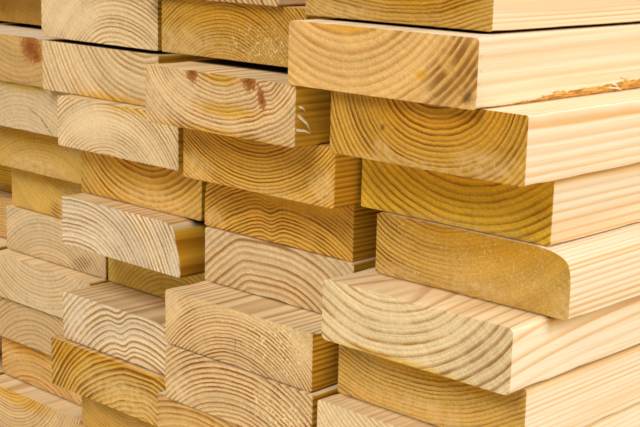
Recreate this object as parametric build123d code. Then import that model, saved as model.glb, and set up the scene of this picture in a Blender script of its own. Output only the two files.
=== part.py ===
from build123d import *
import math
import os

# A stack of sawn two-by-six boards: twelve courses, five boards to a course.
# The boards run along Y, their ends face front and back, and the right-hand column is on +X.

# Driving dimensions in millimetres.
BOARD_WIDTH = 140.0
BOARD_THICKNESS = 38.0
BOARD_LENGTH = 2438.0
COLUMN_GAP = 10.0
COURSE_CLEARANCE = 0.1
EASED_EDGE = 1.5
SOFT_EDGE = 2.0
WORN_EDGE = 2.5
ROUND_EDGE = 3.5
LOG_RADIUS = 160.0
LOG_OVERRUN = 200.0

# Where a board's edge is, seen from the front.
LEFT = -1
RIGHT = 1
BOTTOM = -1
TOP = 1


def log_surface(side, level, lean, front, back):
    """The outside of the log, which takes one edge off a waney board.

    lean is the angle in degrees at which it crosses that edge. front and back are how deep
    it cuts under the sharp edge at the board's two ends, and below zero it misses the board.
    """
    edge_x = side * BOARD_WIDTH / 2
    edge_z = BOARD_THICKNESS if level == TOP else 0.0
    inward_x = -side * math.cos(math.radians(lean))
    inward_z = -level * math.sin(math.radians(lean))

    def heart(y):
        depth = front + (back - front) * y / BOARD_LENGTH
        reach = LOG_RADIUS + depth
        return Vector(edge_x + inward_x * reach, y, edge_z + inward_z * reach)

    start = heart(-LOG_OVERRUN)
    axis = heart(BOARD_LENGTH + LOG_OVERRUN) - start
    log = Cylinder(LOG_RADIUS, axis.length, align=(Align.CENTER, Align.CENTER, Align.MIN))
    return Plane(origin=start, z_dir=axis.normalized()) * log


def board(drift, end, edge=EASED_EDGE, lift=0.0, wane=None):
    """One board with its right edge at X = drift and its front end at Y = end.

    lift is how far the front end is bowed up, while the back end still lies flat.
    """
    middle = Pos(-BOARD_WIDTH / 2, BOARD_THICKNESS / 2)
    section = Plane.XZ * middle * RectangleRounded(BOARD_WIDTH, BOARD_THICKNESS, edge)
    solid = extrude(section, amount=-BOARD_LENGTH)
    if wane:
        solid = solid & Pos(-BOARD_WIDTH / 2, 0, 0) * wane
    tilt = math.degrees(math.asin(lift / BOARD_LENGTH))
    back_edge = Pos(0, BOARD_LENGTH, 0)
    solid = back_edge * Rot(-tilt, 0, 0) * back_edge.inverse() * solid
    return Pos(drift, end, 0) * solid.solids()[0]


def course(*boards):
    """Boards side by side, from the right-hand column to the left-hand one."""
    pitch = BOARD_WIDTH + COLUMN_GAP
    return [Pos(-column * pitch, 0, 0) * one for column, one in enumerate(boards)]


# From the top course down.
top_down = [
    course(
        board(drift=-37, end=18, lift=1.5),
        board(drift=-62, end=30, lift=4.1),
        board(drift=-58, end=40, lift=3.2),
        board(drift=-53, end=62, lift=3.2),
        board(drift=-50, end=45, lift=3.2),
    ),
    course(
        board(drift=-28, end=-5, edge=WORN_EDGE, wane=log_surface(RIGHT, BOTTOM, 50, -0.6, 9.0)),
        board(drift=-42, end=35, lift=4.0),
        board(drift=-47, end=44, lift=2.6),
        board(drift=-41, end=100, lift=3.0),
        board(drift=-40, end=60, lift=3.0),
    ),
    course(
        board(drift=0, end=3),
        board(drift=-13, end=-3, edge=SOFT_EDGE),
        board(drift=-44, end=42),
        board(drift=-39, end=47),
        board(drift=-35, end=50),
    ),
    course(
        board(drift=-5, end=38),
        board(drift=1, end=18),
        board(drift=-7, end=29),
        board(drift=-1, end=50),
        board(drift=0, end=60),
    ),
    course(
        board(drift=12, end=34, edge=SOFT_EDGE, wane=log_surface(RIGHT, TOP, 63, 5.4, -9.0)),
        board(drift=-4, end=42, wane=log_surface(LEFT, TOP, 57, 6.7, -7.0)),
        board(drift=-4, end=48),
        board(drift=1, end=65),
        board(drift=2, end=55),
    ),
    course(
        board(drift=0, end=0, edge=ROUND_EDGE),
        board(drift=0, end=39),
        board(drift=-2, end=28, edge=WORN_EDGE, wane=log_surface(RIGHT, TOP, 22, 9.8, -3.0)),
        board(drift=3, end=80),
        board(drift=0, end=110),
    ),
    course(
        board(drift=0, end=16),
        board(drift=0, end=3, edge=SOFT_EDGE),
        board(drift=-5, end=74),
        board(drift=1, end=75),
        board(drift=3, end=95),
    ),
    course(
        board(drift=0, end=-2, edge=SOFT_EDGE),
        board(drift=4, end=0),
        board(drift=-4, end=29, edge=ROUND_EDGE),
        board(drift=1, end=59),
        board(drift=2, end=70),
    ),
    course(
        board(drift=-3, end=22),
        board(drift=-7, end=2),
        board(drift=-12, end=23),
        board(drift=-7, end=63),
        board(drift=-4, end=40),
    ),
    course(
        board(drift=2, end=12),
        board(drift=0, end=30),
        board(drift=-3, end=45),
        board(drift=-5, end=71),
        board(drift=0, end=100),
    ),
    course(
        board(drift=-4, end=30),
        board(drift=-2, end=18),
        board(drift=-5, end=30),
        board(drift=-1, end=50),
        board(drift=2, end=52),
    ),
    course(
        board(drift=0, end=20),
        board(drift=0, end=36),
        board(drift=-2, end=20),
        board(drift=0, end=44),
        board(drift=0, end=30),
    ),
]

# Each course lies on the one below it.
rise = BOARD_THICKNESS + COURSE_CLEARANCE
courses = []
for level, boards in enumerate(reversed(top_down)):
    courses.append([Pos(0, 0, level * rise) * one for one in boards])

# The origin is under the middle of the stack, on the surface that it lies on.
box = Compound(children=[one for boards in courses for one in boards]).bounding_box()
to_origin = Pos(-box.center().X, -box.center().Y, -box.min.Z)

os.makedirs("parts", exist_ok=True)
for level, boards in enumerate(courses, start=1):
    node = Compound(children=[to_origin * one for one in boards])
    export_step(node, f"parts/boards_course_{level:02d}.step")
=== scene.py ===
# A stack of sawn softwood two-by-sixes: the looks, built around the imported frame.
import math
import random

import bmesh
import bpy
import numpy as np
from mathutils import Matrix, Vector, noise

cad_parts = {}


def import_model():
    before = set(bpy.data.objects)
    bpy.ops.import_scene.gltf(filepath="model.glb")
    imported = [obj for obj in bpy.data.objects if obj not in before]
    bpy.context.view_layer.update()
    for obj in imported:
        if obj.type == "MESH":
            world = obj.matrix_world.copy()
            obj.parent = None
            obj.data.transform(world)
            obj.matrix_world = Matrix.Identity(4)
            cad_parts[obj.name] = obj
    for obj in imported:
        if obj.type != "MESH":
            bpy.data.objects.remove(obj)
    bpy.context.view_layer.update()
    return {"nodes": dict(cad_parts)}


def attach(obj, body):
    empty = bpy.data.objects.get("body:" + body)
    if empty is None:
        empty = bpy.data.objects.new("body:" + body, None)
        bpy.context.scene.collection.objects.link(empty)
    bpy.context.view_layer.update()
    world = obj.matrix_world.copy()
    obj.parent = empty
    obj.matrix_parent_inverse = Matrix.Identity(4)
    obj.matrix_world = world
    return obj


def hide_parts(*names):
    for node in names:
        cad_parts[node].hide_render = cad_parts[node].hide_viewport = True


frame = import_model()

MM = 0.001
WIDTH = 140.0
THICKNESS = 38.0
LENGTH = 2438.0
LOG_RADIUS = 160.0
COURSES = 12
COLUMNS = 5

# Where a board's edge is, seen from the front.
LEFT = -1
RIGHT = 1
BOTTOM = -1
TOP = 1


# What each board looks like.

def linear(red, green, blue):
    """A colour written in sRGB, 0 to 255, as linear values."""
    def one(value):
        value /= 255.0
        return value / 12.92 if value <= 0.04045 else ((value + 0.055) / 1.055) ** 2.4
    return (one(red), one(green), one(blue), 1.0)


class Tone:
    """The colours of one kind of log: on its sawn ends, on its wide faces and inside the stack."""

    def __init__(self, end_early, end_late, face_early, face_late):
        self.end = (linear(*end_early), linear(*end_late))
        self.face = (linear(*face_early), linear(*face_late))


CREAM = Tone((255, 234, 200), (190, 142, 68), (240, 212, 168), (198, 156, 98))
PALE = Tone((255, 224, 174), (182, 132, 56), (250, 224, 180), (200, 154, 96))
TAN = Tone((255, 216, 156), (154, 92, 14), (252, 228, 184), (194, 150, 90))
PEACH = Tone((255, 208, 132), (192, 126, 34), (255, 240, 214), (236, 196, 140))
OCHRE = Tone((243, 195, 97), (150, 97, 6), (244, 208, 150), (194, 142, 78))
GOLDEN = Tone((248, 192, 84), (146, 90, 2), (240, 202, 138), (190, 136, 66))
AMBER = Tone((255, 206, 64), (178, 110, 2), (240, 204, 144), (198, 150, 82))

# Painted sunlight: the boards whose wide face shows beside the sunlit side are painted as pale there as
# that side.
SUNLIT_FACE = ((255, 242, 216), (240, 200, 146))
HONEY = Tone((250, 192, 78), (146, 90, 2), *SUNLIT_FACE)
UMBER = Tone((243, 195, 97), (150, 97, 6), *SUNLIT_FACE)

# Painted light: the stack's long outer sides are painted paler, as in sunlight, than the narrow sides
# between its columns, which are painted a deep golden, as in light bounced between the boards.
OUTER_SIDE = (linear(255, 236, 202), linear(240, 188, 122))
INNER_SIDE = (linear(255, 200, 64), linear(186, 120, 16))

# Painted shade: how light INNER_SIDE is on the undersides and on the sides that face away from the sun.
UNDERSIDE_SHADE = 0.5
AWAY_SIDE_SHADE = 0.3

# The marks' colours, and two tints that the wood's colour is multiplied by. Both tints are painted shade:
# the first golden shade on the ends, mostly on their upper parts under an overhanging board, the second
# golden shade on the sunlit side right under a board.
FRESH = linear(255, 246, 220)
FRESH_SHADE = linear(236, 206, 150)
WHITISH = linear(250, 226, 186)
STAIN = linear(150, 100, 42)
SPOT = linear(94, 62, 24)
DARK = linear(70, 46, 20)
KNOT = linear(172, 100, 36)
KNOT_DARK = linear(126, 66, 18)
BARK = linear(236, 184, 96)
BARK_DARK = linear(180, 122, 48)
FLECK = linear(255, 240, 188)
WARM_SHADE = (0.96, 0.78, 0.16, 1.0)
JOINT_SHADE_TINT = (0.86, 0.6, 0.2, 1.0)

# Painted shade where a board lies on a face: its colour and its share, and what a face without a board on
# it has.
UNDER_BOARD_SHADE = linear(46, 28, 6)
COVERED = 0.96
NOT_COVERED = (0.0, 100.0, 0.0)

# The kinds of face on a board.
END, BELOW, RIGHT_SIDE, ABOVE, LEFT_SIDE, SLIT, SPLINTER = range(7)


class Blot:
    """An oval mark on a front end: its middle, half sizes, slant in degrees and peak."""

    def __init__(self, across, up, wide, high, slant=0.0, peak=1.0):
        self.place = (across, up)
        self.size = (wide, high)
        self.slant = math.radians(slant)
        self.peak = peak

    def field(self, s, t):
        """1 at the mark's middle, 0 at its rim and below that outside."""
        ds, dt = s - self.place[0], t - self.place[1]
        along = ds * math.cos(self.slant) + dt * math.sin(self.slant)
        over = dt * math.cos(self.slant) - ds * math.sin(self.slant)
        return 1.0 - np.sqrt((along / self.size[0]) ** 2 + (over / self.size[1]) ** 2)


class Wane:
    """The round outside of the log, where it takes a long edge off the board."""

    def __init__(self, side, level, lean, front, back, bark=0.0):
        lean = math.radians(lean)
        self.edge = (side * WIDTH / 2, THICKNESS if level == TOP else 0.0)
        self.inward = (-side * math.cos(lean), -level * math.sin(lean))
        self.front = front
        self.back = back
        self.bark = bark

    def heart(self, y):
        reach = LOG_RADIUS + self.front + (self.back - self.front) * y / LENGTH
        return self.edge[0] + self.inward[0] * reach, self.edge[1] + self.inward[1] * reach


# What a board's grain is like where its call says nothing else, with lengths in millimetres.
MARKS = ("stain", "spot", "fleck", "faint", "pale", "warm_shade")
HABITS = {
    "late": 0.4, "soft": 0.07, "uneven": 1.1, "phase": 0.0, "wave": 0.5, "ripple": 40.0,
    "kinks": (), "square": 0.0, "taper": (0.0, 100.0), "contrast": 1.0, "patchy": 0.35,
    "fuzz": 0.3, "light": 1.0, "sides": 1.0, "edge": 1.5, "relief": 0.3, "wane": None,
    "knots": (), "slits": (), "splinters": (), **{name: () for name in MARKS},
}


class Wood:
    """One board's grain: its tone, the heart of its log in the board's section, and its rings.

    late is the dark share of a ring, soft is how gently it ends and uneven how unequal the rings
    are. wave is how wavy they are and ripple how long a wave is. kinks are (angle in degrees,
    width in degrees, how far the rings are pushed in towards the heart), and square makes the
    rings squarer. taper is (how far, within what length) they close in behind the front end.
    contrast is how dark they are, patchy how much they fade in places and fuzz how torn the ends
    are. light scales the ends' colours, partly as the board's own tone and partly as painted light
    that brightens ends lying in shade, and sides scales the long sides' contrast. edge is the radius
    of the edges. knots and marks are blots on the front end, and the warm marks among them are
    painted golden shade. slits are its checks as (start, end, width), and splinters are (root, tip,
    thickness), with both places as across, back and up.
    """

    def __init__(self, tone, across, up, spacing, **habits):
        self.tone = tone
        self.heart = (across, up)
        self.spacing = spacing
        for name, value in {**HABITS, **habits}.items():
            setattr(self, name, value)
        self.knots = [Blot(*knot) for knot in self.knots]
        self.marks = {name: [Blot(*blot) for blot in getattr(self, name)] for name in MARKS}


def plain_wood(seed, tones=(PALE, TAN, PEACH, OCHRE, AMBER)):
    """A board of which the photograph shows little or nothing, drawn at random."""
    draw = random.Random(seed)
    return Wood(
        draw.choice(tones),
        across=draw.uniform(-45, 45),
        up=draw.choice((-1, 1)) * draw.uniform(45, 100) + THICKNESS / 2,
        spacing=draw.uniform(2.4, 5.0),
        late=draw.uniform(0.35, 0.5),
        contrast=draw.uniform(0.5, 0.95),
        wave=draw.uniform(0.4, 1.3),
        soft=draw.uniform(0.07, 0.25),
        patchy=draw.uniform(0.3, 0.7),
        phase=draw.random(),
        light=draw.uniform(0.85, 1.0),
        # Painted shade: a golden blot along the top of the end.
        warm_shade=[(draw.uniform(-40, 40), 36, draw.uniform(30, 70), draw.uniform(8, 16))],
        pale=[(draw.uniform(-50, 50), draw.uniform(2, 12),
               draw.uniform(20, 50), draw.uniform(5, 12))],
    )


# Every board, from the top course down and from the right-hand column to the left-hand one.

TOP_DOWN = [
    [
        Wood(OCHRE, 0, 190, 2.2, late=0.45, contrast=0.85, wave=1.3, ripple=30, light=0.83,
             warm_shade=[(25, 14, 50, 10)], pale=[(-45, 4, 40, 7)]),
        Wood(TAN, -20, -60, 3.4, late=0.5, contrast=1.3, light=0.95),
        Wood(TAN, 20, -50, 3.2, contrast=0.9),
        Wood(PALE, 0, 70, 3.4, contrast=0.8),
        plain_wood(1),
    ],
    [
        Wood(PEACH, -27, 92, 4.7, late=0.55, contrast=0.72, wave=0.7, ripple=55, soft=0.28, fuzz=0.25,
             relief=0.5, edge=2.5, light=0.97, sides=0.65,
             wane=Wane(RIGHT, BOTTOM, 50, -0.6, 9.0, bark=1.0),
             stain=[(52, 22, 34, 17, 58), (66, 16, 16, 9, 60)], spot=[(64, 6, 6, 4, 50, 0.8)],
             warm_shade=[(-22, 37, 28, 4), (32, 15, 6, 4), (56, 20, 26, 20, 50, 0.5)],
             splinters=[((69.4, 2, 21), (72.6, 5, 20.2), 0.8), ((69.4, 1, 14), (72.2, 4, 13.4), 0.7),
                        ((69.4, 1, 29), (71.6, 4, 28.4), 0.7), ((69.2, 132, 6), (72.4, 138, 2.0), 1.3),
                        ((69.0, 127, 3.4), (72.0, 140, 1.2), 1.2),
                        ((68.8, 136, 3.0), (71.5, 143, 0.6), 1.0)]),
        Wood(OCHRE, -6, -45, 2.3, wave=0.9, fuzz=0.6, patchy=0.5, light=0.82, warm_shade=[(-5, 40, 110, 34)],
             fleck=[(30, 12, 46, 18, 0, 0.75)], pale=[(-45, 8, 50, 14)]),
        Wood(PALE, 25, -50, 3.2, contrast=1.05, wave=0.6, fuzz=0.8, patchy=0.5, light=0.98,
             faint=[(-40, 22, 50, 24)], pale=[(-30, 16, 50, 16)]),
        Wood(OCHRE, 10, 160, 3.2, contrast=0.12, light=0.86),
        plain_wood(2),
    ],
    [
        Wood(HONEY, 7, 60, 2.9, late=0.55, contrast=0.95, wave=0.7, soft=0.16, light=0.87, square=0.06,
             warm_shade=[(8, 40, 85, 34)], pale=[(-27, 6, 6, 12, 50), (46, 8, 30, 10), (-5, 0, 60, 6)],
             spot=[(-29, 20, 2.4, 2.2)]),
        Wood(TAN, 3, 90, 2.7, late=0.5, contrast=0.85, wave=0.8, ripple=26, soft=0.14, fuzz=0.4, edge=2.0,
             square=0.04, knots=[(-23, 37, 7, 8, 20), (30, 36, 8, 7, -10), (41, 27, 4, 10, 15)],
             pale=[(-46, 22, 40, 20)], warm_shade=[(10, 16, 40, 6), (0, 0, 75, 5), (5, 36, 26, 6)],
             stain=[(34, 1, 14, 4), (-30, 2, 14, 4, 0, 0.6)],
             splinters=[((69.2, 3, 20), (76.0, 8, 10), 2.1), ((68.8, 1, 11), (75.5, 9, 8.5), 1.9),
                        ((69.4, 4, 25), (73.0, 6, 22), 1.4)]),
        Wood(PALE, 53, 88, 4.5, late=0.55, contrast=0.78, wave=0.6, soft=0.25, patchy=0.3,
             warm_shade=[(20, 1, 60, 5)]),
        Wood(PEACH, 40, 100, 4.0, contrast=0.4, wave=1.2, light=0.7,
             knots=[(53, 30, 17, 14, -12), (60, 24, 9, 7, 0)]),
        plain_wood(3),
    ],
    [
        Wood(AMBER, 8, 108, 4.4, late=0.42, contrast=0.88, wave=0.9, soft=0.2, warm_shade=[(10, 40, 110, 34)],
             pale=[(10, -2, 75, 8)]),
        Wood(GOLDEN, -6, 105, 2.35, late=0.5, patchy=0.15, uneven=0.5, warm_shade=[(-10, 40, 90, 32)],
             pale=[(-58, 8, 22, 12), (25, -2, 50, 9), (60, 12, 14, 14)]),
        Wood(PALE, -8, -48, 2.9, contrast=0.9, fuzz=1.0, faint=[(-30, 20, 36, 18)],
             pale=[(-32, 18, 44, 15), (10, 24, 20, 8)], warm_shade=[(20, 38, 40, 6)]),
        Wood(PALE, 0, -70, 3.4, contrast=0.38, light=0.76, warm_shade=[(0, 38, 70, 8)],
             slits=[((4, 20), (22, 13), 0.5), ((22, 13), (38, 1), 0.8)]),
        plain_wood(4),
    ],
    [
        Wood(UMBER, -20, 112, 2.8, late=0.45, wave=1.0, ripple=28, fuzz=0.9, light=0.86, edge=2.0,
             wane=Wane(RIGHT, TOP, 63, 5.4, -9.0), faint=[(38, 19, 95, 50)],
             fleck=[(15, 15, 70, 20, 0, 0.18)], pale=[(66, 5, 9, 14), (-48, 2, 30, 8), (10, 6, 40, 7)],
             warm_shade=[(10, 40, 100, 26)]),
        Wood(GOLDEN, 8, -90, 2.6, late=0.5, contrast=1.1, wave=0.7, fuzz=0.2, kinks=[(96.5, 4.0, 4.0)],
             light=1.05, wane=Wane(LEFT, TOP, 57, 6.7, -7.0), warm_shade=[(0, 40, 110, 34)],
             faint=[(25, 30, 60, 9)], pale=[(-60, 6, 14, 10)]),
        Wood(OCHRE, 6, 93, 4.2, late=0.62, contrast=0.95, wave=0.9, soft=0.2, light=1.1,
             warm_shade=[(0, 40, 100, 28)], pale=[(20, 6, 60, 12)]),
        Wood(OCHRE, 0, -80, 3.0, contrast=0.3, light=0.76, warm_shade=[(-10, 34, 70, 14)],
             pale=[(-10, 6, 60, 12)]),
        plain_wood(5),
    ],
    [
        Wood(PALE, -25, 100, 6.2, late=0.3, contrast=0.95, wave=0.9, soft=0.12, fuzz=0.8, relief=0.5,
             edge=3.5, light=1.04, sides=0.8, taper=(9, 70),
             pale=[(-12, 24, 16, 8), (30, 28, 20, 11, 20), (-50, 12, 22, 10)],
             stain=[(50, 16, 40, 22, 50, 0.6), (26, 3, 10, 4, 25, 0.8)], warm_shade=[(-10, 0, 70, 4)]),
        Wood(PALE, 0, -62, 4.6, late=0.5, contrast=0.98, wave=0.6, soft=0.3, patchy=0.3, light=0.93,
             kinks=[(111, 8.0, -2.2)]),
        Wood(CREAM, -52, -52, 3.6, late=0.5, contrast=1.15, soft=0.2, fuzz=0.5, square=0.03, edge=2.5,
             light=0.98, sides=0.7, wane=Wane(RIGHT, TOP, 22, 9.8, -3.0),
             pale=[(64, 14, 10, 28), (-20, 16, 26, 10)]),
        Wood(OCHRE, 20, 110, 3.4, contrast=0.2, light=0.85, warm_shade=[(-20, 34, 60, 10)],
             stain=[(-6, 6, 12, 9)]),
        plain_wood(6),
    ],
    [
        Wood(OCHRE, -20, 170, 2.6, late=0.42, contrast=0.75, wave=1.0, ripple=30, fuzz=0.6, light=0.95,
             warm_shade=[(12, 31, 70, 9)], pale=[(-5, 5, 70, 12)], fleck=[(-20, 12, 70, 18, 0, 0.2)]),
        Wood(TAN, 3, -54, 2.45, late=0.42, contrast=1.1, wave=0.45, fuzz=0.5, edge=2.0,
             faint=[(0, 44, 100, 16), (62, 30, 16, 24), (-64, 24, 12, 20)], light=0.96,
             fleck=[(40, 22, 44, 24)], slits=[((0.6, 21), (1.2, 10), 0.35), ((6, 19), (6.5, 13), 0.25)],
             pale=[(-60, 30, 16, 10)]),
        Wood(OCHRE, 10, -45, 3.6, late=0.45, contrast=0.5, wave=0.6, light=1.3),
        Wood(PALE, -5, -60, 3.2, contrast=0.5, light=0.83, stain=[(40, 8, 26, 8, 20)]),
        plain_wood(7),
    ],
    [
        Wood(PALE, 20, 120, 3.0, contrast=0.6, wave=0.6, fuzz=0.4, edge=2.0),
        Wood(TAN, 4, -72, 3.3, late=0.42, contrast=0.95, fuzz=0.6, light=0.97, fleck=[(40, 20, 44, 22)],
             pale=[(-55, 10, 20, 14)]),
        Wood(CREAM, 24, -60, 4.4, late=0.45, contrast=1.4, soft=0.2, fuzz=0.5, edge=3.5,
             kinks=[(105, 6.0, 5.0)], pale=[(-50, 12, 20, 18)]),
        Wood(PALE, -2, 102, 3.6, late=0.45, contrast=0.55, soft=0.2, light=0.84, pale=[(0, 4, 50, 10)]),
        plain_wood(8),
    ],
    [
        Wood(TAN, -10, 120, 3.0, contrast=0.7),
        Wood(PEACH, -25, -60, 4.2, late=0.5, contrast=0.9, wave=1.5, ripple=30, light=0.9),
        Wood(OCHRE, 38, -62, 3.8, late=0.55, contrast=1.25, wave=1.5, ripple=24, soft=0.16, fuzz=0.4,
             pale=[(20, 14, 60, 18)], warm_shade=[(-50, 30, 25, 16), (0, 38, 90, 8)]),
        Wood(TAN, 0, -50, 4.0, contrast=0.55, light=0.78),
        plain_wood(9),
    ],
    [plain_wood(seed) for seed in (10, 11, 12, 13, 14)],
    [plain_wood(seed) for seed in (15, 16, 17, 18, 19)],
    [plain_wood(seed) for seed in (20, 21, 22, 23, 24)],
]


# The boards' meshes. s runs across a board from its middle, t up from its bottom and y back from its
# front end, all in millimetres.

ARC_CELLS = 3
FACE_CELLS = 96
SIDE_CELLS = 26
MIDDLE = np.array([0.0, THICKNESS / 2])

# How many cells of a wide and of a narrow side run on as one along the board.
STEPS = (5, 4)
WANEY_STEPS = (2, 2)

# The rings of points lie close together near the ends.
FIRST_STATIONS = [0.9, 2.5, 5.0]
FIRST_STEP = 3.0
FRONT_GROWTH = 1.17
BACK_GROWTH = 1.9
LONGEST_STEP = 70.0

# The strip beside a wane that still has bark is wider further back.
BARK_STRIP = 1.5
BARK_STRIP_GROWTH = 3.6
BARK_STRIP_LENGTH = 42.0
DEEP_CUT = 1.0
SOFT_CELLS = 8
SOFT_ROUNDS = 30

# The heart wanders along the board, and the rings are out of round in long and in fine waves.
WANDER = 7.0
WANDER_LENGTH = 700.0
WANDER_ROWS = (0.0, 5.0)
LEAST_REACH = 30.0
WAVE = 2.2
WAVE_DEPTH = 60.0
WAVE_LENGTH = 500.0
FINE_WAVE = 0.35
FINE_WAVE_SIZE = 9.0
FINE_WAVE_LENGTH = 160.0
RING_SLOPE = 0.004
KINK_GROWTH = 1.5
CALM_RADIUS = 12.0
KNOT_PUSH = 1.6
KNOT_RIM = 1.6
KNOT_REACH = 60.0

# On a sawn end, the early wood and the rough places lie deeper, and the rim is worn off.
LATE_START = 0.5
LATE_RISE = 0.35
LATE_DROP = 0.08
ROUGHNESS = 0.12
ROUGH_SIZE = 3.0
UNEVENNESS = 0.25
UNEVEN_SIZE = 40.0
WORN = 0.25
WORN_WITH_RELIEF = 0.9
MOST_WORN = 0.9
BACK_WORN = 0.4
BACK_RECESS = 0.1
RIM_TOLERANCE = 0.01

# The long edges are dented.
DENT = 0.9
DENT_LENGTH = 22.0
DENT_REACH = 6.0
DENT_ROW = 7.7

SLIT_CELLS = 6
SLIT_SWAY = 0.5
SLIT_WAVES = 4.0
SLIT_ROW = 3.3
SLIT_LIFT = 0.12
SPLINTER_BEND = 0.6

# How sharp a mark's rim is, and how far marks and knots go in behind the front end.
MARK_SHARPNESS = 1.6
MARK_DEPTH = 12.0
KNOT_DEPTH = 5.0
NO_KNOT = -3.0

SEED_STEP = 17.3
WAVE_SEED = 3.1
FINE_WAVE_SEED = 9.7

# In metres: points closer than this are one, and the front end's points lie within this depth.
WELD = 1e-6
FRONT_ZONE = 0.02


def rounded_rectangle(radius):
    """The board's section, anticlockwise from the middle of its bottom left corner."""
    half = WIDTH / 2 - radius
    low, high = radius, THICKNESS - radius
    centres = [(-half, low), (half, low), (half, high), (-half, high)]
    points = []
    for side in range(4):
        turn = math.radians(90 * side - 90)
        (s0, t0), (s1, t1) = centres[side], centres[(side + 1) % 4]
        cells = FACE_CELLS if side % 2 == 0 else SIDE_CELLS
        straight = cells - 2 * ARC_CELLS
        for i in range(cells):
            share = min(max((i - ARC_CELLS) / straight, 0.0), 1.0)
            bend = min(i - ARC_CELLS, 0) + max(i - ARC_CELLS - straight, 0)
            angle = turn + math.radians(45) * bend / ARC_CELLS
            points.append((s0 + (s1 - s0) * share + radius * math.cos(angle),
                           t0 + (t1 - t0) * share + radius * math.sin(angle)))
    return np.array(points)


def kept_points(steps):
    """The outline's points that run on along the board: all in the corners, and some between them."""
    kept = []
    start = 0
    for cells, step in zip((FACE_CELLS, SIDE_CELLS) * 2, steps * 2):
        last = start + cells - ARC_CELLS
        kept += [*range(start, start + ARC_CELLS), *range(start + ARC_CELLS, last, step)]
        start += cells
        kept += range(last, start)
    return kept


def patch(border, across, up):
    """A grid over the area inside an outline whose four sides have these numbers of cells."""
    bottom = border[:across + 1]
    right = border[across:across + up + 1]
    top = border[across + up:2 * across + up + 1][::-1]
    left = np.vstack([border[2 * across + up:], border[:1]])[::-1]
    u = np.linspace(0, 1, across + 1)[:, None, None]
    v = np.linspace(0, 1, up + 1)[None, :, None]
    ruled = (1 - v) * bottom[:, None] + v * top[:, None] + (1 - u) * left[None] + u * right[None]
    corners = ((1 - u) * (1 - v) * bottom[0] + u * (1 - v) * bottom[-1]
               + (1 - u) * v * top[0] + u * v * top[-1])
    return ruled - corners


def stations():
    """How far back from the front end each ring of points lies."""
    near = [*FIRST_STATIONS]
    step = FIRST_STEP
    while near[-1] < LENGTH / 2:
        step = min(step * FRONT_GROWTH, LONGEST_STEP)
        near.append(near[-1] + step)
    far = [LENGTH - FIRST_STATIONS[0]]
    step = FIRST_STEP
    while far[-1] - near[-1] > LONGEST_STEP:
        step = min(step * BACK_GROWTH, LONGEST_STEP)
        far.append(far[-1] - step)
    return near + far[::-1]


STATIONS = stations()


def noise_at(points, seed):
    """Smooth noise between -1 and 1 at each of the points."""
    return np.array([noise.noise(Vector((x, y, z + seed))) for x, y, z in points])


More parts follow.
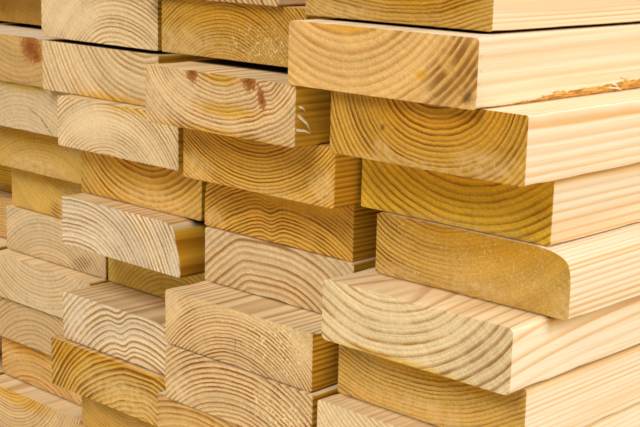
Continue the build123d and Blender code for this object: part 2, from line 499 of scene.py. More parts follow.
class Board:
    """The mesh of one board, with what its material needs to know at each point."""

    def __init__(self, wood, low, high, front_z, number):
        self.wood = wood
        self.low = low
        self.high = high
        self.front_z = front_z
        self.number = number
        self.seed = number * SEED_STEP
        self.points = []
        self.bark = []
        self.faces = []
        self.kinds = []
        self.base = rounded_rectangle(wood.edge)
        kept = kept_points(WANEY_STEPS if wood.wane else STEPS)
        self.back_end(self.long_faces(self.front_end(), kept), kept)
        self.slits()
        self.splinters()

    def outline(self, y):
        """The board's section at y, and how much of each point's neighbourhood still has bark."""
        wane = self.wood.wane
        if not wane:
            return self.base, np.zeros(len(self.base))
        heart = np.array(wane.heart(y))
        reach = self.base - heart
        distance = np.linalg.norm(reach, axis=1)
        depth = distance - LOG_RADIUS
        on_log = heart + reach * (LOG_RADIUS / distance)[:, None]
        points = np.where((depth > 0)[:, None], on_log, self.base)
        strip = BARK_STRIP + min(y / BARK_STRIP_LENGTH, BARK_STRIP_GROWTH)
        return self.softened(points, depth > DEEP_CUT), wane.bark * np.maximum(depth + strip, 0)

    def softened(self, points, cut):
        """The outline with the corners beside the wane rounded off."""
        around = np.concatenate([cut[-SOFT_CELLS:], cut, cut[:SOFT_CELLS]])
        near = np.convolve(around, np.ones(2 * SOFT_CELLS + 1), "same")[SOFT_CELLS:-SOFT_CELLS] > 0
        for _ in range(SOFT_ROUNDS):
            mean = (np.roll(points, 1, 0) + np.roll(points, -1, 0)) / 2
            points = np.where(near[:, None], mean, points)
        return points

    def drift(self, y, row):
        """How far the heart has wandered at y in one of the two directions."""
        def place(v):
            return noise.noise(Vector((v / WANDER_LENGTH, row, self.seed)))
        return WANDER * (np.array([place(v) for v in np.atleast_1d(y)]) - place(0.0))

    def grain(self, s, t, y):
        """Where a point is from the heart of the log."""
        across, up = self.wood.heart
        return s - across - self.drift(y, WANDER_ROWS[0]), t - up - self.drift(y, WANDER_ROWS[1])

    def wobble(self, x, z, y):
        """How far a ring at each point is out of round, in millimetres."""
        wood = self.wood
        across, up = wood.heart
        radius = np.hypot(x, z)
        around = np.arctan2(z, x)
        reach = max(math.hypot(across, up - THICKNESS / 2), LEAST_REACH)
        place = [around * reach / wood.ripple, radius / WAVE_DEPTH, y / WAVE_LENGTH]
        waves = noise_at(np.stack(place, 1), self.seed + WAVE_SEED)
        place = [x / FINE_WAVE_SIZE, z / FINE_WAVE_SIZE, y / FINE_WAVE_LENGTH]
        fine = noise_at(np.stack(place, 1), self.seed + FINE_WAVE_SEED)
        push = WAVE * wood.wave * waves + FINE_WAVE * fine + RING_SLOPE * y
        push += wood.taper[0] * (1 - np.exp(-y / wood.taper[1]))
        push -= wood.square * radius * np.sin(2 * around) ** 2
        for angle, width, depth in wood.kinks:
            off = (np.degrees(around) - angle + 180) % 360 - 180
            push += depth * np.exp(-(off / width) ** 2) * np.minimum(radius / reach, KINK_GROWTH)
        for knot in wood.knots:
            near = np.clip(1 + knot.field(x + across, z + up) / KNOT_RIM, 0, 1)
            push += KNOT_PUSH * (near * np.clip(1 - y / KNOT_REACH, 0, 1)) ** 2
        return push * np.minimum(radius / CALM_RADIUS, 1)

    def recess(self, points):
        """How far the sawn end lies behind its most forward point, and how late the wood is there."""
        s, t = points.T
        level = np.zeros(len(points))
        x, z = self.grain(s, t, 0.0)
        rings = (np.hypot(x, z) + self.wobble(x, z, level)) / self.wood.spacing + self.wood.phase
        ring = rings % 1.0
        late = np.clip((ring - LATE_START) / LATE_RISE, 0, 1) * np.clip((1 - ring) / LATE_DROP, 0, 1)
        rough = noise_at(np.stack([s / ROUGH_SIZE, t / ROUGH_SIZE, level], 1), self.seed)
        uneven = noise_at(np.stack([s / UNEVEN_SIZE, t / UNEVEN_SIZE, level], 1), self.seed)
        return self.wood.relief * (1 - late) + ROUGHNESS * (1 + rough) + UNEVENNESS * (1 + uneven), late

    def add_points(self, points, y, bark=0.0):
        start = len(self.points)
        self.points += [(s, v, t) for (s, t), v in zip(points, np.broadcast_to(y, len(points)))]
        self.bark += list(np.broadcast_to(bark, len(points)))
        return start

    def face(self, corners, kind):
        self.faces.append(corners)
        self.kinds.append(kind)

    def band(self, first, second):
        """Faces from one closed row of points to the next."""
        for i in range(len(first)):
            j = (i + 1) % len(first)
            self.face([first[i], first[j], second[j], second[i]], END)

    def end_grid(self, border, across, up, back=False):
        """A grid of points inside the border. Gives its outer points in the border's order."""
        grid = patch(border, across, up).reshape(-1, 2)
        start = self.add_points(grid, LENGTH - BACK_RECESS if back else self.recess(grid)[0])
        index = start + np.arange(len(grid)).reshape(across + 1, up + 1)
        for i in range(across):
            for j in range(up):
                corners = index[[i, i + 1, i + 1, i], [j, j, j + 1, j + 1]].tolist()
                self.face(corners[::-1] if back else corners, END)
        sides = (index[:-1, 0], index[-1, :-1], index[:0:-1, -1], index[0, :0:-1])
        return np.concatenate(sides).tolist()

    def front_end(self):
        """The sawn end, as a grid inside the first ring of points, and the first of those points."""
        border, bark = self.outline(0.0)
        _, late = self.recess(border)
        worn = WORN + WORN_WITH_RELIEF * (1 - late) * self.wood.relief
        worn = np.minimum(worn, MOST_WORN)[:, None] * self.near_edge(border)
        loop = self.end_grid(border - np.sign(border - MIDDLE) * worn, FACE_CELLS, SIDE_CELLS)
        ring = self.add_points(border, STATIONS[0], bark)
        self.band(loop, [ring + i for i in range(len(border))])
        return ring

    def long_faces(self, ring, kept):
        """The rings of points behind the first, which have only the kept points."""
        count = len(self.base)
        previous = None
        for y in STATIONS[1:]:
            outline, bark = self.outline(y)
            start = self.add_points(self.dented(outline, y)[kept], y, bark[kept])
            current = [start + i for i in range(len(kept))]
            for k, first in enumerate(kept):
                n = (k + 1) % len(kept)
                if previous:
                    corners = [previous[k], previous[n]]
                else:
                    last = kept[n] if n else count
                    corners = [ring + i % count for i in range(first, last + 1)]
                self.face([*corners, current[n], current[k]], self.side_of(first))
            previous = current
        return previous

    def back_end(self, ring, kept):
        back = self.outline(LENGTH)[0][kept]
        back = back - np.sign(back - MIDDLE) * BACK_WORN * self.near_edge(back)
        across = sum(i < FACE_CELLS for i in kept)
        up = sum(FACE_CELLS <= i < FACE_CELLS + SIDE_CELLS for i in kept)
        self.band(ring, self.end_grid(back, across, up, back=True))

    def slits(self):
        """Thin dark strips that lie on the front end where it has checks."""
        for number, (start, end, width) in enumerate(self.wood.slits):
            start, end = np.array([start, end], float)
            along = (end - start) / np.linalg.norm(end - start)
            across = np.array([-along[1], along[0]])
            rows = []
            for i in range(SLIT_CELLS + 1):
                share = i / SLIT_CELLS
                place = Vector((share * SLIT_WAVES, number * SLIT_ROW, self.seed))
                middle = start + (end - start) * share + across * SLIT_SWAY * noise.noise(place)
                half = width * (0.25 + 0.75 * math.sin(math.pi * share)) / 2
                rows += [middle - across * half, middle + across * half]
            rows = np.array(rows)
            first = self.add_points(rows, self.recess(rows)[0] - SLIT_LIFT)
            for a in range(first, first + 2 * SLIT_CELLS, 2):
                self.face([a, a + 2, a + 3, a + 1], SLIT)

    def splinters(self):
        """Slivers with three sides, thinner past a bend, that end in a point."""
        for root, tip, width in self.wood.splinters:
            root, tip = np.array([root, tip], float)
            half = width / 2
            corners = [root + (0, -half, half), root + (0, half, half), root + (0, 0, -half)]
            bend = root + (tip - root) * SPLINTER_BEND + (half, 0, half)
            first = len(self.points)
            for s, y, t in (*corners, *[bend + (c - root) * SPLINTER_BEND for c in corners], tip):
                self.add_points([(s, t)], y)
            for i in range(3):
                j = (i + 1) % 3
                self.face([first + i, first + j, first + 3 + j, first + 3 + i], SPLINTER)
                self.face([first + 3 + i, first + 3 + j, first + 6], SPLINTER)

    def near_edge(self, points):
        """1 in a direction in which the point lies on the outline, and 0 in the other."""
        inside = (WIDTH / 2, THICKNESS / 2) - np.abs(points - MIDDLE)
        return (np.abs(inside) < self.wood.edge + RIM_TOLERANCE).astype(float)

    def dented(self, outline, y):
        """The outline with its long edges a little bruised."""
        off = outline - MIDDLE
        inside = np.minimum((WIDTH / 2, THICKNESS / 2) - np.abs(off), DENT_REACH) / DENT_REACH
        near = np.clip(1 - np.hypot(inside[:, 0], inside[:, 1]), 0, 1)
        corner = np.sign(off[:, 0]) + 3 * np.sign(off[:, 1])
        places = [Vector((y / DENT_LENGTH, k * DENT_ROW, self.seed)) for k in corner]
        dent = np.array([max(noise.noise(place), 0.0) for place in places])
        return outline - np.sign(off) * (DENT * dent * near)[:, None]

    def side_of(self, start):
        """The kind of the long face that begins at this point of the outline."""
        ends = (FACE_CELLS, FACE_CELLS + SIDE_CELLS, 2 * FACE_CELLS + SIDE_CELLS)
        return BELOW + sum(start >= end for end in ends)

    def mask(self, marks, s, t, y):
        """How much each point is in any of these marks on the front end."""
        share = np.zeros(len(s))
        for mark in marks:
            share = np.maximum(share, mark.peak * np.clip(mark.field(s, t) * MARK_SHARPNESS, 0, 1))
        return share * np.clip(1 - y / MARK_DEPTH, 0, 1)

    def point_values(self):
        """The values at each point that the material reads."""
        s, y, t = np.array(self.points).T
        x, z = self.grain(s, t, y)
        knot = np.full(len(s), NO_KNOT)
        for mark in self.wood.knots:
            knot = np.maximum(knot, mark.field(s, t) - np.clip(y / KNOT_DEPTH, 0, -NO_KNOT))
        marks = {name: self.mask(marks, s, t, y) for name, marks in self.wood.marks.items()}
        return {"grain": np.stack([x, y, z], 1), "wobble": self.wobble(x, z, y),
                "knot": knot, "bark": np.array(self.bark), **marks}

    def placed_points(self):
        """The points in metres in the row frame. The board rises towards its front end."""
        s, y, t = np.array(self.points).T
        rise = self.front_z - self.low.z
        return np.stack([
            (self.low.x + self.high.x) / 2 + s * MM,
            self.low.y + y * MM,
            self.low.z + rise * (1 - y / LENGTH) + t * MM,
        ], 1)


def boards_in(node):
    """(low corner, high corner, height of the front end's bottom) for each board, from the right."""
    bm = bmesh.new()
    bm.from_mesh(frame["nodes"][node].data)
    bmesh.ops.remove_doubles(bm, verts=bm.verts, dist=WELD)
    left = set(bm.verts)
    found = []
    while left:
        island = set()
        edge = [left.pop()]
        while edge:
            point = edge.pop()
            island.add(point)
            linked = {link.other_vert(point) for link in point.link_edges} & left
            left -= linked
            edge += linked
        places = [v.co.copy() for v in island]
        low = Vector([min(p[k] for p in places) for k in range(3)])
        high = Vector([max(p[k] for p in places) for k in range(3)])
        front_z = min(p.z for p in places if p.y < low.y + FRONT_ZONE)
        found.append((low, high, front_z))
    bm.free()
    return sorted(found, key=lambda board: -board[0].x)


# A flat sheet for each course, a UV map onto which its colours can be baked. The front ends are large
# on it, since their rings are the finest pattern. Places on it are in pixels from its lower left.

SHEET = 1024.0
SHEET_NAME = "OFBake"
INSET = 2.0
FRONT_CELL = (512.0, 145.0)
FRONT_SCALE = 3.5
BACK_CELL = (170.0, 72.0)
BACK_SCALE = 1.16
END_MARGIN = (72.0, 1.5)
END_GROWTH = 1.2
SCRAPS = (856.0, 366.0)
STRIPS_START = 438.0
STRIP_GAP = 2.0
STRIP_ROWS = {BELOW: 9.0, RIGHT_SIDE: 17.0, ABOVE: 44.0, LEFT_SIDE: 17.0}
TOP_STRIP_ROWS = {BELOW: 6.0, RIGHT_SIDE: 12.0, ABOVE: 56.0, LEFT_SIDE: 12.0}
OUTER_ROWS = 70.0
TOP_OUTER_ROWS = 56.0
NEAR_LENGTH = 120.0
NEAR_PIXELS = 300.0
LONG_PIXELS = 1018.0


def sheet_strips(top_course):
    """The first row and the number of rows of each long face's strip, by column and kind."""
    rows, outer_rows = (TOP_STRIP_ROWS, TOP_OUTER_ROWS) if top_course else (STRIP_ROWS, OUTER_ROWS)
    outer = ((0, RIGHT_SIDE), (COLUMNS - 1, LEFT_SIDE))
    strips = {}
    start = STRIPS_START
    for column in range(COLUMNS):
        for kind, high in rows.items():
            high = outer_rows if (column, kind) in outer else high
            strips[column, kind] = (start, high)
            start += high + STRIP_GAP
    return strips


def sheet_places(board, column, strips):
    """Where each corner of each of a board's faces lies on its course's sheet, from 0 to 1."""
    kinds = np.repeat(board.kinds, [len(face) for face in board.faces])
    s, y, t = np.array(board.points)[np.concatenate(board.faces)].T
    # The rims of the ends are drawn a little outside them.
    rim = np.isin(y, (STATIONS[0], STATIONS[-1]))
    end_s = s * np.where(rim, 1 + END_GROWTH / (WIDTH / 2), 1) + END_MARGIN[0]
    end_t = (t - THICKNESS / 2) * np.where(rim, 1 + END_GROWTH / (THICKNESS / 2), 1)
    end_t += THICKNESS / 2 + END_MARGIN[1]
    front_u = INSET + FRONT_CELL[0] * (column % 2)
    front_v = FRONT_CELL[1] * (column // 2)
    back_u = FRONT_CELL[0] + BACK_CELL[0] * (column % 3)
    back_v = 2 * FRONT_CELL[1] + BACK_CELL[1] * (column // 3)
    near = y < LENGTH / 2
    u = np.where(near, front_u + end_s * FRONT_SCALE, back_u + end_s * BACK_SCALE)
    v = np.where(near, front_v + end_t * FRONT_SCALE, back_v + end_t * BACK_SCALE)
    rest = (LONG_PIXELS - NEAR_PIXELS) / (LENGTH - NEAR_LENGTH)
    along = np.minimum(y, NEAR_LENGTH) * NEAR_PIXELS / NEAR_LENGTH
    along += INSET + np.maximum(y - NEAR_LENGTH, 0) * rest
    for kind in (BELOW, RIGHT_SIDE, ABOVE, LEFT_SIDE):
        start, high = strips[column, kind]
        across = s / WIDTH + 0.5 if kind in (BELOW, ABOVE) else t / THICKNESS
        u = np.where(kinds == kind, along, u)
        v = np.where(kinds == kind, start + high * np.clip(across, 0, 1), v)
    scrap = (kinds == SLIT) | (kinds == SPLINTER)
    u = np.where(scrap, SCRAPS[0] + np.where(kinds == SLIT, s + WIDTH / 2, y), u)
    v = np.where(scrap, SCRAPS[1] + t, v)
    return np.stack([u, v], 1) / SHEET


# The wood's material, made of nodes.

class Value:
    """What a node gives, which can be added, multiplied and so on into further nodes."""

    def __init__(self, nodes, socket):
        self.nodes = nodes
        self.socket = socket

    def __add__(self, other):
        return self.nodes.math("ADD", self, other)

    def __sub__(self, other):
        return self.nodes.math("SUBTRACT", self, other)

    def __rsub__(self, other):
        return self.nodes.math("SUBTRACT", other, self)

    def __mul__(self, other):
        return self.nodes.math("MULTIPLY", self, other)

    def __truediv__(self, other):
        return self.nodes.math("DIVIDE", self, other)

    def ramp(self, low, high, start=0.0, end=1.0):
        """This value taken smoothly from low..high to start..end."""
        inputs = {"Value": self, "From Min": low, "From Max": high, "To Min": start, "To Max": end}
        return self.nodes.new("ShaderNodeMapRange", inputs, interpolation_type="SMOOTHSTEP")


class Nodes:
    """A short way to write the nodes of a material or of the world."""

    def __init__(self, owner):
        owner.use_nodes = True
        self.tree = owner.node_tree
        self.tree.nodes.clear()

    def node(self, kind, inputs=(), **settings):
        node = self.tree.nodes.new(kind)
        for key, value in settings.items():
            setattr(node, key, value)
        for key, value in dict(inputs).items():
            if isinstance(value, Value):
                self.tree.links.new(value.socket, node.inputs[key])
            else:
                node.inputs[key].default_value = value
        return node

    def new(self, kind, inputs=(), output=0, **settings):
        return Value(self, self.node(kind, inputs, **settings).outputs[output])

    def parts(self, vector):
        node = self.node("ShaderNodeSeparateXYZ", {0: vector})
        return [Value(self, socket) for socket in node.outputs]

    def math(self, operation, *values):
        return self.new("ShaderNodeMath", enumerate(values), operation=operation)

    def vector(self, *values):
        return self.new("ShaderNodeCombineXYZ", enumerate(values))

    def noise(self, vector, detail=1.0, rough=0.5):
        inputs = {"Vector": vector, "Scale": 1.0, "Detail": detail, "Roughness": rough}
        return self.new("ShaderNodeTexNoise", inputs)

    def mix(self, share, a, b, blend="MIX"):
        inputs = {"Factor": share, 6: a, 7: b}
        return self.new("ShaderNodeMix", inputs, 2, data_type="RGBA", blend_type=blend)

    def attribute(self, name, output="Fac"):
        return self.new("ShaderNodeAttribute", output=output, attribute_name=name)

    def attribute_parts(self, name):
        return self.parts(self.attribute(name, "Vector"))


# For each noise, its waves in a millimetre across, along and up the log, its detail, its
# roughness, and the two values between which its mark begins and is full.
PATTERNS = {
    "ripple": ((0.22, 0.004, 0.22), 2.0, 0.5, ()),
    "clear": ((0.034, 0.0015, 0.034), 2.0, 0.5, (0.62, 0.36)),
    "thread": ((0.8, 0.0028, 0.8), 2.0, 0.55, (0.55, 0.68)),
    "broad": ((0.03, 0.0012, 0.03), 2.0, 0.5, (0.3, 0.7, 0.95, 1.03)),
    "fibre": ((1.1, 0.012, 1.1), 3.0, 0.6, ()),
    "speck": ((1.3, 0.9, 1.3), 3.0, 0.7, ()),
    "glow": ((0.07, 0.0035, 0.07), 2.0, 0.6, (0.48, 0.68)),
    "whitish": ((0.16, 0.16, 0.16), 3.0, 0.65, (0.38, 0.62, 0.1, 0.6)),
    "torn": ((0.8, 0.8, 0.8), 3.0, 0.75, (0.55, 0.7)),
    "torn area": ((0.05, 0.05, 0.05), 1.0, 0.5, (0.36, 0.6)),
    "fleck": ((0.72, 0.72, 0.72), 2.0, 0.5, (0.53, 0.61)),
    "fleck area": ((0.3, 0.3, 0.3), 1.0, 0.5, (0.38, 0.6)),
    "stain": ((0.06, 0.05, 0.06), 2.0, 0.5, (0.25, 0.55)),
    "rim": ((0.5, 0.2, 0.5), 3.0, 0.7, ()),
    "flake": ((0.35, 0.06, 0.35), 3.0, 0.7, ()),
    "crumb": ((0.9, 0.12, 0.9), 3.0, 0.7, (0.42, 0.62)),
}


class Softwood:
    """The one material of all the boards. What differs between them comes from attributes."""

    def __init__(self):
        self.material = bpy.data.materials.new("softwood")
        n = self.n = Nodes(self.material)
        self.grain = n.attribute("grain", "Vector")
        self.x, _, self.z = n.parts(self.grain)
        self.contrast, self.fuzz, self.seed = n.attribute_parts("habit")
        self.cut = n.attribute("cut")
        self.side = 1.0 - self.cut
        self.early = n.attribute("early", "Color")
        self.pale = n.attribute("pale") * self.cut
        self.speck = self.pattern("speck") - 0.5
        self.fibre = self.pattern("fibre") - 0.5
        self.rings()
        colour = self.shades(self.wood_colour())
        colour = self.dark_marks(self.torn_wood(colour))
        colour = self.shaded_joints(self.barked(colour))
        n.node("ShaderNodeOutputMaterial", {"Surface": n.new("ShaderNodeBsdfPrincipled", {
            "Base Color": colour,
            "Roughness": self.late * -0.1 + self.cut * 0.18 + 0.68,
            "Normal": self.bump(),
            "Specular IOR Level": 0.2,
        })})

    def pattern(self, name):
        """A noise along the grain, taken to the shares of its mark if it has limits."""
        scale, detail, rough, limits = PATTERNS[name]
        place = self.n.new("ShaderNodeVectorMath", {0: self.grain, 1: scale}, operation="MULTIPLY")
        value = self.n.noise(place, detail, rough)
        return value.ramp(*limits) if limits else value

    def rings(self):
        """Light early wood that darkens outwards and ends more or less sharply."""
        n = self.n
        spacing, phase, late_share = n.attribute_parts("rings")
        soft, patchy, unequal = n.attribute_parts("manner")
        flat = n.vector(self.x, 0.0, self.z)
        self.length = n.new("ShaderNodeVectorMath", {0: flat}, "Value", operation="LENGTH")
        radius = self.length + n.attribute("wobble") + (self.pattern("ripple") - 0.5) * 0.7
        count = radius / spacing + phase
        uneven = n.noise(n.vector(count * 0.37, self.seed, 0.0)) - 0.5
        self.count = count + uneven * unequal
        within = n.math("FRACT", self.count)
        ring = n.vector(n.math("FLOOR", self.count), self.seed, 1.0)
        own = n.new("ShaderNodeTexWhiteNoise", {"Vector": ring}, noise_dimensions="3D")
        full = 1.0 - n.math("MAXIMUM", late_share * 0.35, soft)
        self.rise = within.ramp(1.0 - late_share * 1.7, full)
        drop = within.ramp(1.0 - soft, 1.0, 1.0, 0.0)
        clear = 1.0 - self.pattern("clear") * patchy
        clear *= 1.0 - n.attribute("faint") * self.cut * 0.85
        clear *= 1.0 - self.pale * 0.2
        strength = own.ramp(0.0, 1.0, 0.65, 1.15) * self.contrast * clear
        late = self.rise * drop * strength
        # Faint finer rings between them on the ends, and thin threads along the sides.
        finer = n.math("FRACT", self.count * 2.6)
        finer = finer.ramp(0.35, 0.8) * finer.ramp(0.85, 1.0, 1.0, 0.0)
        finer *= self.cut * 0.26 * self.contrast
        thread = self.pattern("thread") * self.side * 0.38
        self.late = n.math("MAXIMUM", late, n.math("MAXIMUM", finer, thread))

    def wood_colour(self):
        n = self.n
        glow = self.pattern("glow") * self.side * 0.45
        share = n.math("MAXIMUM", self.late, glow)
        base = n.mix(share, self.early, n.attribute("late", "Color"))
        # Painted shade: the golden blots on the ends multiply the wood by a golden tint, mostly on their
        # upper parts under an overhanging board.
        warm_shade = n.mix(1.0, base, WARM_SHADE, "MULTIPLY")
        return n.mix(n.attribute("warm_shade") * self.cut * 0.9, base, warm_shade)

    def shades(self, base):
        """Broad tone, bands of rings, rays and saw marks on the ends, long fibres on the sides."""
        n = self.n
        band = n.noise(n.vector(self.count * 0.21, self.seed + 40.0, 0.0))
        angle = n.math("ARCTAN2", self.z, self.x)
        ray = n.noise(n.vector(angle * 55.0, self.length * 0.05, self.seed), 2.0) - 0.5
        across = self.x * 0.45 + self.z * 0.8
        along = self.x * 0.04 + self.z * -0.02
        saw = n.noise(n.vector(across, along, self.seed)) - 0.5
        level = self.pattern("broad") * (band.ramp(0.35, 0.65, -0.1, 0.05) * self.cut + 1.0)
        level += ray * self.cut * 0.22 + self.fibre * self.side * 0.16
        level += self.speck * self.cut * 0.8 + saw * self.cut * 0.3
        return n.mix(1.0, base, n.vector(level, level, level), "MULTIPLY")

    def torn_wood(self, base):
        """Whitish patches, torn fibres and bright flecks on the sawn ends."""
        n = self.n
        whitish = self.pale * self.pattern("whitish")
        base = n.mix(whitish, base, n.mix(0.45, self.early, WHITISH))
        torn = self.pattern("torn") * self.pattern("torn area") * self.fuzz * self.cut * 0.9
        base = n.mix(torn, base, n.mix(0.4, self.early, FRESH))
        fleck = self.pattern("fleck") * self.pattern("fleck area") * n.attribute("fleck")
        return n.mix(fleck * self.cut, base, FLECK)

    def dark_marks(self, base):
        """Brown streaks that follow the rings, small dark spots, and ragged reddish knots."""
        n = self.n
        streaks = self.pattern("stain") * self.rise.ramp(0.0, 0.8, 0.2, 0.95)
        base = n.mix(n.attribute("stain") * streaks * self.cut, base, STAIN)
        ragged = (self.pattern("rim") - 0.5) * 1.7
        spot = (n.attribute("spot") + ragged * 0.5).ramp(0.0, 1.0, 0.0, 0.85)
        base = n.mix(spot * self.cut, base, SPOT)
        knot = n.attribute("knot") + ragged
        base = n.mix(knot.ramp(-0.1, 0.3, 0.0, 0.9), base, KNOT)
        return n.mix(knot.ramp(0.3, 0.8) * 0.7, base, KNOT_DARK)

    def barked(self, base):
        """The inner bark left on a waney edge."""
        n = self.n
        bark = n.attribute("bark")
        flake = self.pattern("flake")
        left = ((flake - 0.5) * 3.0 + bark).ramp(0.5, 0.8) * flake.ramp(0.26, 0.34)
        colour = n.mix(self.pattern("crumb"), BARK, BARK_DARK)
        return n.mix(left * bark.ramp(0.0, 0.1) * self.side, base, colour)

    def shaded_joints(self, base):
        """Painted shade: dark under another board, and golden right under one on the sunlit side."""
        n = self.n
        x, y, z = n.parts(n.new("ShaderNodeNewGeometry"))
        low_x, front_y, high_x = n.attribute_parts("cover")
        # Painted shade on a wide face under the board above.
        under = (x - low_x).ramp(0.004, 0.009) * (high_x - x).ramp(0.004, 0.009)
        under *= (y - front_y).ramp(-0.004, 0.004) * COVERED
        base = n.mix(under, base, UNDER_BOARD_SHADE)
        # Painted golden shade on the sunlit side right under the board above, wider where it overhangs.
        reach, front_y, top_z = n.attribute_parts("joint_shade")
        near = (top_z - z).ramp(reach, 0.0) * (y - front_y).ramp(-0.003, 0.003)
        return n.mix(near, base, n.mix(1.0, base, JOINT_SHADE_TINT, "MULTIPLY"))

    def bump(self):
        """The relief that is finer than the mesh."""
        height = self.late * (self.cut * 0.22 + self.side * 0.05)
        height += self.speck * self.cut * 0.5 + self.fibre * self.side * 0.12
        inputs = {"Strength": 0.8, "Distance": MM, "Height": height}
        return self.n.new("ShaderNodeBump", inputs)


# Each course's piece: its boards' meshes joined into one, with the values that the material reads.

BOARD_SEED_STEP = 3.7
SHARP_ANGLE = 35.0

# Painted shade: the golden strip on the sunlit side, under a board that isn't set back, is wider where
# that board overhangs.
SET_BACK = 3 * MM
JOINT_REACH = 2.5 * MM
JOINT_SPREAD = 1.1

# An attribute's kind and its field's name, by the shape of one value.
KINDS = {
    (): ("FLOAT", "value"),
    (3,): ("FLOAT_VECTOR", "vector"),
    (4,): ("FLOAT_COLOR", "color"),
}


def put_values(mesh, domain, boards):
    """The boards' values, one board's after another's, as the mesh's attributes."""
    for name in boards[0]:
        values = np.concatenate([board[name] for board in boards])
        kind, field = KINDS[values.shape[1:]]
        attribute = mesh.attributes.new(name, kind, domain)
        attribute.data.foreach_set(field, values.astype(np.float32).ravel())


def scaled(colours, scale):
    return [tuple(min(part * scale, 1.0) for part in colour[:3]) + (1.0,) for colour in colours]


def finishes(wood, column, covered):
    """The early and the late wood's colour on each kind of face."""
    # Painted light and shade: an inner right side under a board takes the golden INNER_SIDE as shade, the
    # outer sides take the pale OUTER_SIDE as sunlight, and the undersides and inner left sides are
    # darkened as shade.
    inner_right = INNER_SIDE if covered else wood.tone.face
    return {
        # The ends' colours are scaled by light, which is partly painted light on ends that lie in shade.
        END: scaled(wood.tone.end, wood.light),
        BELOW: scaled(INNER_SIDE, UNDERSIDE_SHADE),
        ABOVE: wood.tone.face,
        RIGHT_SIDE: OUTER_SIDE if column == 0 else inner_right,
        LEFT_SIDE: OUTER_SIDE if column == COLUMNS - 1 else scaled(INNER_SIDE, AWAY_SIDE_SHADE),
        SLIT: (DARK, DARK),
        SPLINTER: (FRESH, FRESH_SHADE),
    }


def face_values(board, column, above):
    """The values on each face. above holds the two corners of the board on this one, or is None."""
    wood = board.wood
    cover = joint_shade = NOT_COVERED
    if above:
        cover = (above[0].x, above[0].y, above[1].x)
        overhang = above[1].x - board.high.x
        # Painted shade: a golden strip on the sunlit side under the board above.
        if column == 0 and overhang > -SET_BACK:
            joint_shade = (JOINT_REACH + JOINT_SPREAD * max(overhang, 0.0), above[0].y, board.high.z)
    values = {}
    for kind, (early, late) in finishes(wood, column, above is not None).items():
        contrast = wood.contrast * (wood.sides if kind in (RIGHT_SIDE, LEFT_SIDE) else 1.0)
        values[kind] = {
            "cut": float(kind == END),
            "early": early,
            "late": late,
            "rings": (wood.spacing, wood.phase, wood.late),
            "habit": (contrast, wood.fuzz, board.number * BOARD_SEED_STEP),
            "manner": (wood.soft, wood.patchy, wood.uneven),
            "cover": cover if kind == ABOVE else NOT_COVERED,
            "joint_shade": joint_shade if kind == RIGHT_SIDE else NOT_COVERED,
        }
    return {name: [values[kind][name] for kind in board.kinds] for name in values[END]}


def course_piece(number, woods, material, lying_on):
    """One course of boards as one mesh that stands for its node.

    lying_on holds the places of the boards of the course above, or is empty for the top course.
    """
    node = f"boards_course_{number:02d}"
    points, faces, at_points, at_faces, at_corners = [], [], [], [], []
    strips = sheet_strips(not lying_on)
    places = boards_in(node)
    start = 0
    for column, (wood, (low, high, front_z)) in enumerate(zip(woods, places)):
        above = lying_on[column] if lying_on else None
        board = Board(wood, low, high, front_z, number * COLUMNS + column)
        points.append(board.placed_points())
        faces += [[start + i for i in face] for face in board.faces]
        start += len(board.points)
        at_points.append(board.point_values())
        at_faces.append(face_values(board, column, above))
        at_corners.append(sheet_places(board, column, strips))
    mesh = bpy.data.meshes.new(f"{node}_boards")
    mesh.from_pydata(np.vstack(points).tolist(), [], faces)
    put_values(mesh, "POINT", at_points)
    put_values(mesh, "FACE", at_faces)
    sheet = mesh.uv_layers.new(name=SHEET_NAME)
    sheet.data.foreach_set("uv", np.concatenate(at_corners).astype(np.float32).ravel())
    mesh.materials.append(material)
    mesh.set_sharp_from_angle(angle=math.radians(SHARP_ANGLE))
    piece = bpy.data.objects.new(f"{node}_boards", mesh)
    bpy.context.scene.collection.objects.link(piece)
    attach(piece, "root")
    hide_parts(node)
    return places


wood_material = Softwood().material
places_above = []
for row, woods in enumerate(TOP_DOWN):
    places_above = course_piece(COURSES - row, woods, wood_material, places_above)


# The studio.

FLOOR_HALF_SIZE = 40.0
FLOOR_COLOUR = linear(226, 222, 214)
FLOOR_ROUGHNESS = 0.9
BACKDROP = linear(224, 217, 205)
SKY = (1.0, 0.78, 0.44, 1.0)
SKY_STRENGTH = 0.12


def floor():
    size = FLOOR_HALF_SIZE
    material = bpy.data.materials.new("studio_floor")
    n = Nodes(material)
    inputs = {"Base Color": FLOOR_COLOUR, "Roughness": FLOOR_ROUGHNESS}
    shader = n.new("ShaderNodeBsdfPrincipled", inputs)
    n.node("ShaderNodeOutputMaterial", {"Surface": shader})
    mesh = bpy.data.meshes.new("floor")
    corners = [(-size, -size, 0), (size, -size, 0), (size, size, 0), (-size, size, 0)]
    mesh.from_pydata(corners, [], [(0, 1, 2, 3)])
    mesh.materials.append(material)
    piece = bpy.data.objects.new("floor", mesh)
    bpy.context.scene.collection.objects.link(piece)


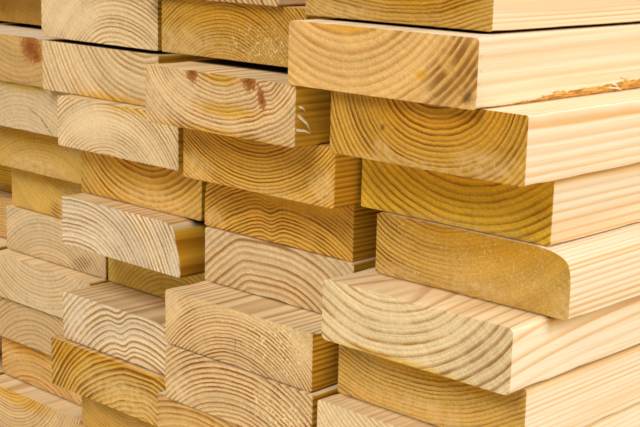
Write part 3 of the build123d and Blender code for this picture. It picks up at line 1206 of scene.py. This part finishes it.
def lamp(name, place, aim, width, strength, colour):
    """A far lamp, of which only the direction matters. width is its angle in degrees."""
    data = bpy.data.lights.new(name, "SUN")
    data.angle = math.radians(width)
    data.energy = strength
    data.color = colour
    light = bpy.data.objects.new(name, data)
    light.location = place
    light.rotation_euler = (Vector(aim) - Vector(place)).to_track_quat("-Z", "Y").to_euler()
    bpy.context.scene.collection.objects.link(light)


def world():
    """Dim light from all round, and a pale backdrop that only shows and doesn't light the stack."""
    data = bpy.data.worlds.new("studio")
    n = Nodes(data)
    shows = 0.0
    for ray in ("Is Camera Ray", "Is Glossy Ray", "Is Transmission Ray"):
        shows = n.math("MAXIMUM", shows, n.new("ShaderNodeLightPath", output=ray))
    light = n.new("ShaderNodeBackground", {"Color": SKY, "Strength": SKY_STRENGTH})
    pale = n.new("ShaderNodeBackground", {"Color": BACKDROP, "Strength": 1.0})
    mixed = n.new("ShaderNodeMixShader", {0: shows, 1: light, 2: pale})
    n.node("ShaderNodeOutputWorld", {"Surface": mixed})
    bpy.context.scene.world = data


floor()
world()
lamp("key", (5.57, 0.8, 3.735), (0.3, -0.9, 0.25), 35.0, 2.10, (1.0, 0.98, 0.95))
lamp("front", (0.55, -5.67, 4.98), (0.1, -1.27, 0.25), 34.0, 2.18, (1.0, 0.96, 0.90))


# The camera, which has the photograph's view.

SENSOR = 36.0
LENS = 76.81
CLIP_START = 0.01
CAMERA_PLACE = (0.7927, -1.8503, 0.4772)
CAMERA_VIEW = Vector((-0.67125, 0.71080, -0.21023))
CAMERA_UP = Vector((-0.16225, 0.13585, 0.97735))


def camera():
    data = bpy.data.cameras.new("camera")
    data.sensor_width = SENSOR
    data.lens = LENS
    data.clip_start = CLIP_START
    seen = bpy.data.objects.new("camera", data)
    right = CAMERA_VIEW.cross(CAMERA_UP).normalized()
    up = right.cross(CAMERA_VIEW).normalized()
    turn = Matrix((right, up, -CAMERA_VIEW.normalized())).transposed()
    seen.matrix_world = Matrix.Translation(CAMERA_PLACE) @ turn.to_4x4()
    bpy.context.scene.collection.objects.link(seen)
    bpy.context.scene.camera = seen


camera()
bpy.context.scene.view_settings.view_transform = "Standard"
